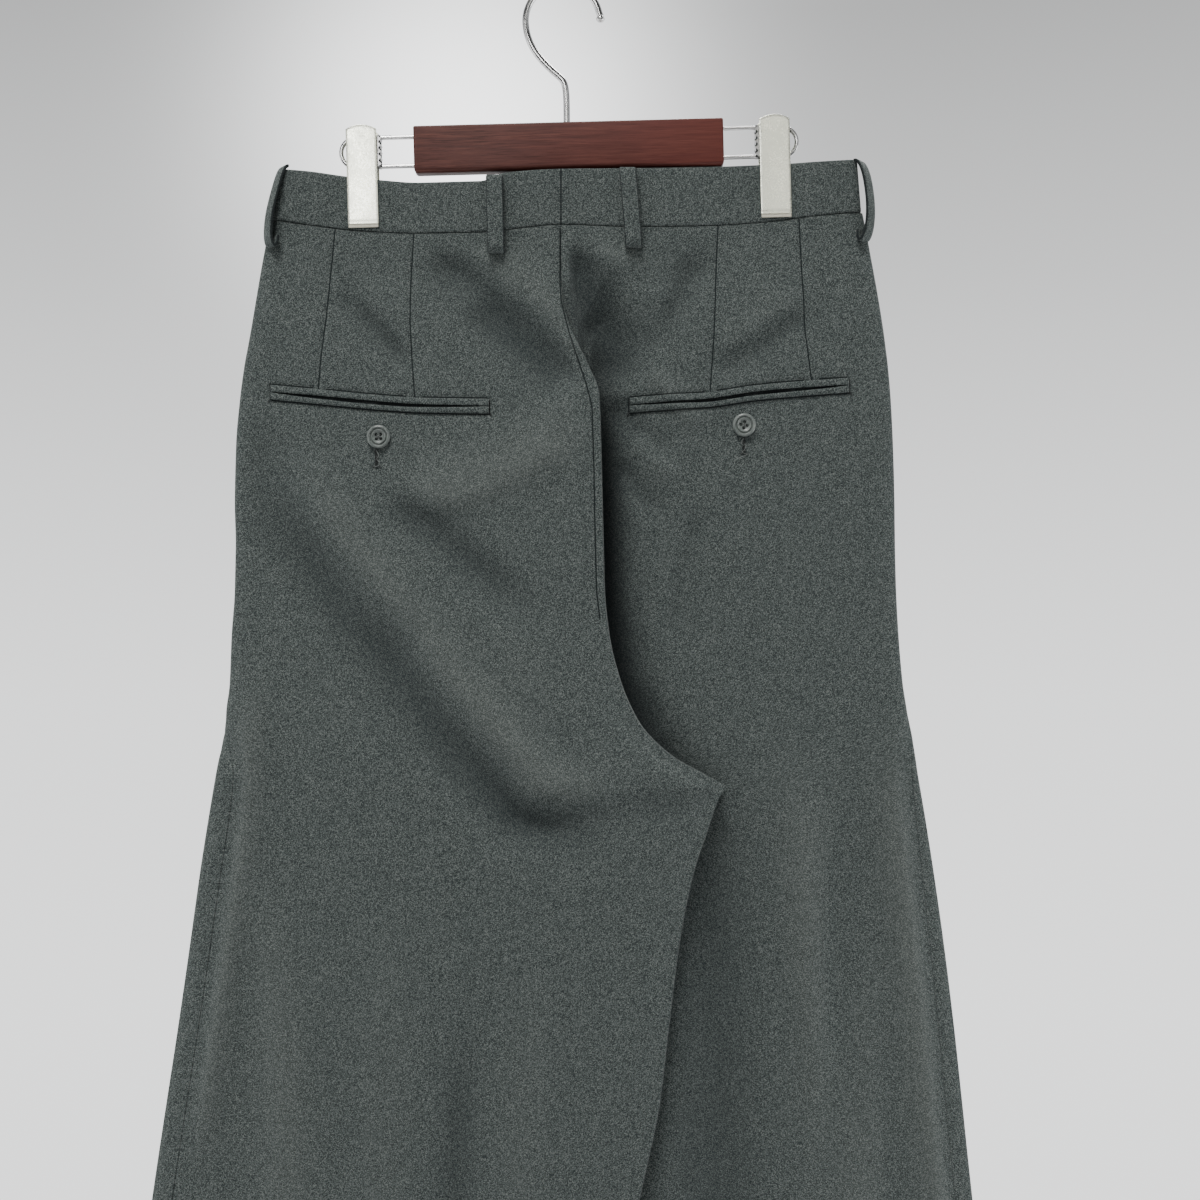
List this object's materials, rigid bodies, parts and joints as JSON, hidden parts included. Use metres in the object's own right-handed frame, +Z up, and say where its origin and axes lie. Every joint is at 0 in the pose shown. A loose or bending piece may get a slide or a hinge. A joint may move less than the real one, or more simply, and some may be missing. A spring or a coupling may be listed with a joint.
{
  "type": "pleated dress trousers on a clip hanger",
  "caption": "Wide-leg pleated dress trousers in grey suiting, hung flat by the waistband from a clip hanger with a wood bar.",
  "frame": {"origin": "inside top of the hanger's hook, where it rests on a rail", "axes": "+Z up; +X to the right when the trousers' back is seen; the back faces -Y and the front +Y"},
  "size_m": [0.6338, 0.0506, 1.1684],
  "materials": {
    "grey_suiting": "soft melange wool-look weave",
    "grey_horn": "satin button resin",
    "red_brown_wood": "worn satin varnish",
    "chrome": "polished",
    "brushed_nickel": "satin nickel plate",
    "cream_rubber": "matte"
  },
  "bodies": {
    "root": {"back_left": "grey_suiting", "back_right": "grey_suiting", "front_left": "grey_suiting", "front_right": "grey_suiting", "waistband_left": "grey_suiting", "waistband_right": "grey_suiting", "loop_back_left": "grey_suiting", "loop_back_right": "grey_suiting", "loop_side_left": "grey_suiting", "loop_side_right": "grey_suiting", "loop_front_left": "grey_suiting", "loop_front_right": "grey_suiting", "welt_left_upper": "grey_suiting", "welt_left_lower": "grey_suiting", "welt_right_upper": "grey_suiting", "welt_right_lower": "grey_suiting", "fly": "grey_suiting", "pocket_front_left": "grey_suiting", "pocket_front_right": "grey_suiting", "button_back_left": "grey_horn", "button_back_right": "grey_horn", "button_waistband": "grey_horn", "hanger_bar": "red_brown_wood", "hanger_hook": "chrome", "wire_left": "chrome", "wire_right": "chrome", "clip_left_front": "brushed_nickel", "clip_left_rear": "brushed_nickel", "clip_left_guide": "brushed_nickel", "clip_left_pad_front": "cream_rubber", "clip_left_pad_rear": "cream_rubber", "clip_right_front": "brushed_nickel", "clip_right_rear": "brushed_nickel", "clip_right_guide": "brushed_nickel", "clip_right_pad_front": "cream_rubber", "clip_right_pad_rear": "cream_rubber"}
  },
  "joints": []
}
